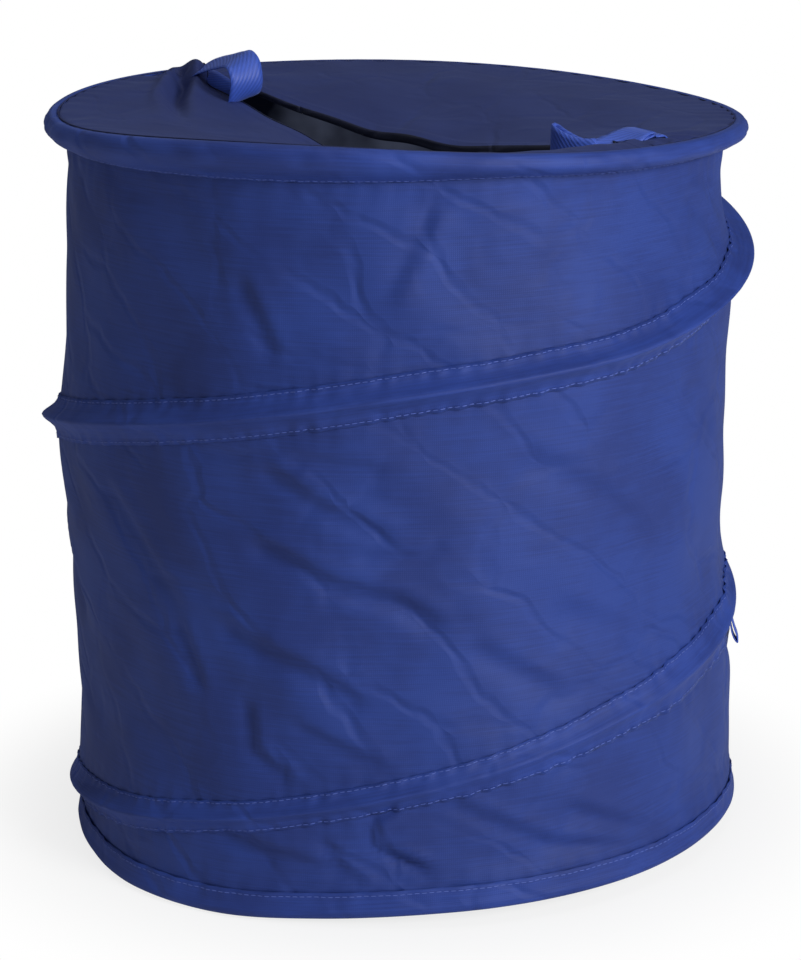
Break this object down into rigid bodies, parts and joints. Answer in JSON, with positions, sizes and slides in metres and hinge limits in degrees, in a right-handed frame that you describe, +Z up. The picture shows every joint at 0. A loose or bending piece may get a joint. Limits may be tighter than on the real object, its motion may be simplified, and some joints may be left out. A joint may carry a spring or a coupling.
{
  "type": "pop up laundry hamper",
  "caption": "Tall round cloth drum held open by spring hoops and a spiral wire in sewn casings, with a two flap lid, a slot for laundry and webbing pull loops.",
  "frame": {"origin": "middle of the floor panel's underside, on the floor", "axes": "+Z up, +X along the lid slot towards the right pull loop, +Y towards the rear flap"},
  "size_m": [0.471, 0.471, 0.5189],
  "materials": {
    "cloth": "woven polyester, softly shiny",
    "casing": "woven polyester, doubled and stitched",
    "lid": "woven polyester, matt",
    "webbing": "ribbed webbing",
    "spring_steel": "drawn spring wire",
    "crimp_steel": "crimped sleeve",
    "cap_plastic": "moulded, matt"
  },
  "bodies": {
    "base": {"floor_panel": "cloth", "hem_casing": "casing", "bottom_hoop_wire": "spring_steel", "bottom_hoop_ferrule": "crimp_steel", "wall_band_1": "cloth", "spiral_casing": "casing", "spiral_wire": "spring_steel", "spiral_cap_lower": "cap_plastic", "spiral_cap_upper": "cap_plastic", "storage_tie": "webbing"},
    "wall_2": {"wall_band_2": "cloth"},
    "wall_3": {"wall_band_3": "cloth"},
    "wall_4": {"wall_band_4": "cloth"},
    "wall_5": {"wall_band_5": "cloth"},
    "wall_6": {"wall_band_6": "cloth"},
    "wall_7": {"wall_band_7": "cloth"},
    "top": {"wall_band_8_panel_1": "cloth", "wall_band_8_panel_2": "cloth", "wall_band_8_panel_3": "cloth", "wall_band_8_panel_4": "cloth", "rim_casing": "casing", "top_hoop_wire": "spring_steel", "top_hoop_ferrule": "crimp_steel", "rear_flap_panel": "lid", "front_flap_panel": "lid", "left_patch": "webbing", "right_patch": "webbing"},
    "rear_flap": {"rear_flap_tongue": "lid"},
    "front_flap": {"front_flap_tongue": "lid"},
    "left_handle": {"left_loop": "webbing"},
    "right_handle": {"right_loop": "webbing"}
  },
  "joints": [
    {"name": "collapse", "type": "slide", "parent": "base", "child": "top", "axis": [0, 0, -1], "range_m": [0, 0.40268], "stiffness_N_per_m": 20, "springref_m": -0.4, "deforming": ["spiral_casing", "spiral_wire", "spiral_cap_lower", "spiral_cap_upper", "storage_tie"]},
    {"name": "wall_2_drop", "type": "slide", "parent": "base", "child": "wall_2", "axis": [0, 0, -1], "range_m": [0, 0.05763]},
    {"name": "wall_3_drop", "type": "slide", "parent": "base", "child": "wall_3", "axis": [0, 0, -1], "range_m": [0, 0.11515]},
    {"name": "wall_4_drop", "type": "slide", "parent": "base", "child": "wall_4", "axis": [0, 0, -1], "range_m": [0, 0.17267]},
    {"name": "wall_5_drop", "type": "slide", "parent": "base", "child": "wall_5", "axis": [0, 0, -1], "range_m": [0, 0.2302]},
    {"name": "wall_6_drop", "type": "slide", "parent": "base", "child": "wall_6", "axis": [0, 0, -1], "range_m": [0, 0.28773]},
    {"name": "wall_7_drop", "type": "slide", "parent": "base", "child": "wall_7", "axis": [0, 0, -1], "range_m": [0, 0.34525]},
    {"name": "rear_flap_fold", "type": "hinge", "parent": "top", "child": "rear_flap", "pos_m": [0, 0.095, 0.48499], "axis": [-0.9999, 0, 0.0123], "range_deg": [-50, 105], "stiffness_Nm_per_rad": 0.05},
    {"name": "front_flap_fold", "type": "hinge", "parent": "top", "child": "front_flap", "pos_m": [0, -0.095, 0.48499], "axis": [0.9999, 0, 0.0123], "range_deg": [-50, 105], "stiffness_Nm_per_rad": 0.05},
    {"name": "left_loop_swing", "type": "hinge", "parent": "top", "child": "left_handle", "pos_m": [-0.2004, 0.004, 0.48804], "axis": [-0.225, -0.9744, 0], "range_deg": [0, 135]},
    {"name": "right_loop_swing", "type": "hinge", "parent": "top", "child": "right_handle", "pos_m": [0.1994, 0.022, 0.48737], "axis": [-0.9659, 0.2588, 0], "range_deg": [0, 135]}
  ],
  "couplings": [
    {"joint": "wall_2_drop", "follows": "collapse", "ratio": 0.14286},
    {"joint": "wall_3_drop", "follows": "collapse", "ratio": 0.28571},
    {"joint": "wall_4_drop", "follows": "collapse", "ratio": 0.42857},
    {"joint": "wall_5_drop", "follows": "collapse", "ratio": 0.57143},
    {"joint": "wall_6_drop", "follows": "collapse", "ratio": 0.71429},
    {"joint": "wall_7_drop", "follows": "collapse", "ratio": 0.85714}
  ]
}
